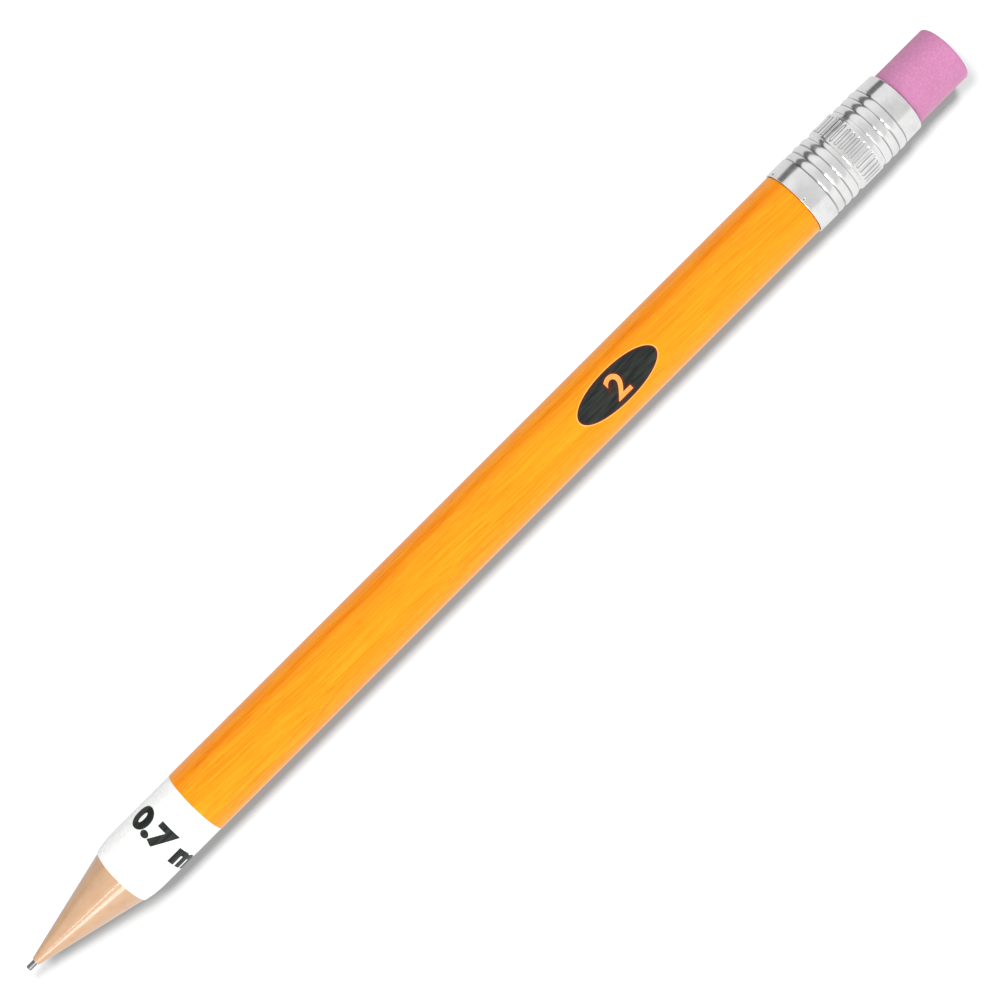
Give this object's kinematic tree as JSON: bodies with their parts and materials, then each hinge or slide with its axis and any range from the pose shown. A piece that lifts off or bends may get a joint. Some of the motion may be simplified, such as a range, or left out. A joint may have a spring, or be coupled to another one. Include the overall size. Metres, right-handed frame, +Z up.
{
  "type": "mechanical pencil",
  "caption": "Push-button mechanical pencil made to look like a wooden one, with a lacquered round barrel, white collar, screw-off tan cone, beaded metal ferrule and pink eraser.",
  "frame": {"origin": "under the middle of the pencil's length, on the surface that it lies on", "axes": "+X along the pencil from the writing tip to the eraser, +Z up, the long axis 4.42 mm above the surface"},
  "size_m": [0.147, 0.0088, 0.0088],
  "materials": {
    "lacquered_wood": "gloss orange lacquer over fine lengthwise grain",
    "collar_white": "gloss white",
    "cone_tan": "gloss tan, like sharpened wood",
    "ferrule_aluminium": "bright rolled aluminium",
    "eraser_pink": "matte pink",
    "inner_plastic": "black moulded plastic",
    "tube_plastic": "natural white moulded plastic",
    "sleeve_plastic": "dark grey moulded plastic",
    "clutch_brass": "turned brass",
    "spring_steel": "drawn spring wire",
    "retainer_rubber": "soft black rubber",
    "graphite": "polymer graphite lead with a grey sheen"
  },
  "bodies": {
    "case": {"barrel": "lacquered_wood", "front_collar": "collar_white", "clutch_sleeve": "sleeve_plastic", "rear_bush": "inner_plastic", "ferrule": "ferrule_aluminium", "return_spring": "spring_steel"},
    "push_rod": {"eraser_holder": "inner_plastic", "lead_tube": "tube_plastic", "chuck_connector": "inner_plastic", "chuck": "clutch_brass", "spare_lead_1": "graphite", "spare_lead_2": "graphite", "spare_lead_3": "graphite"},
    "eraser_plug": {"eraser": "eraser_pink"},
    "clutch": {"clutch_ring": "clutch_brass"},
    "lead": {"writing_lead": "graphite"},
    "nose_travel": {"lead_retainer": "retainer_rubber"},
    "nose": {"nose_cone": "cone_tan"}
  },
  "joints": [
    {"name": "button_press", "type": "slide", "parent": "case", "child": "push_rod", "axis": [-1, 0, 0], "range_m": [0, 0.0032], "stiffness_N_per_m": 1000, "springref_m": -0.002, "deforming": ["return_spring"]},
    {"name": "ring_slide", "type": "slide", "parent": "case", "child": "clutch", "axis": [-1, 0, 0], "range_m": [0, 0.001]},
    {"name": "lead_feed", "type": "slide", "parent": "clutch", "child": "lead", "axis": [-1, 0, 0], "range_m": [-0.0011, 0.005]},
    {"name": "eraser_pull", "type": "slide", "parent": "push_rod", "child": "eraser_plug", "axis": [1, 0, 0], "range_m": [0, 0.012]},
    {"name": "nose_travel", "type": "slide", "parent": "case", "child": "nose_travel", "axis": [-1, 0, 0], "range_m": [0, 0.004]},
    {"name": "nose_unscrew", "type": "hinge", "parent": "nose_travel", "child": "nose", "pos_m": [-0.0587, 0, 0.00442], "axis": [-1, 0, 0], "range_deg": [0, 1441]}
  ],
  "couplings": [
    {"joint": "ring_slide", "follows": "button_press", "ratio": 0.3125},
    {"joint": "nose_unscrew", "follows": "nose_travel", "rad_per_m": 6283.2}
  ]
}
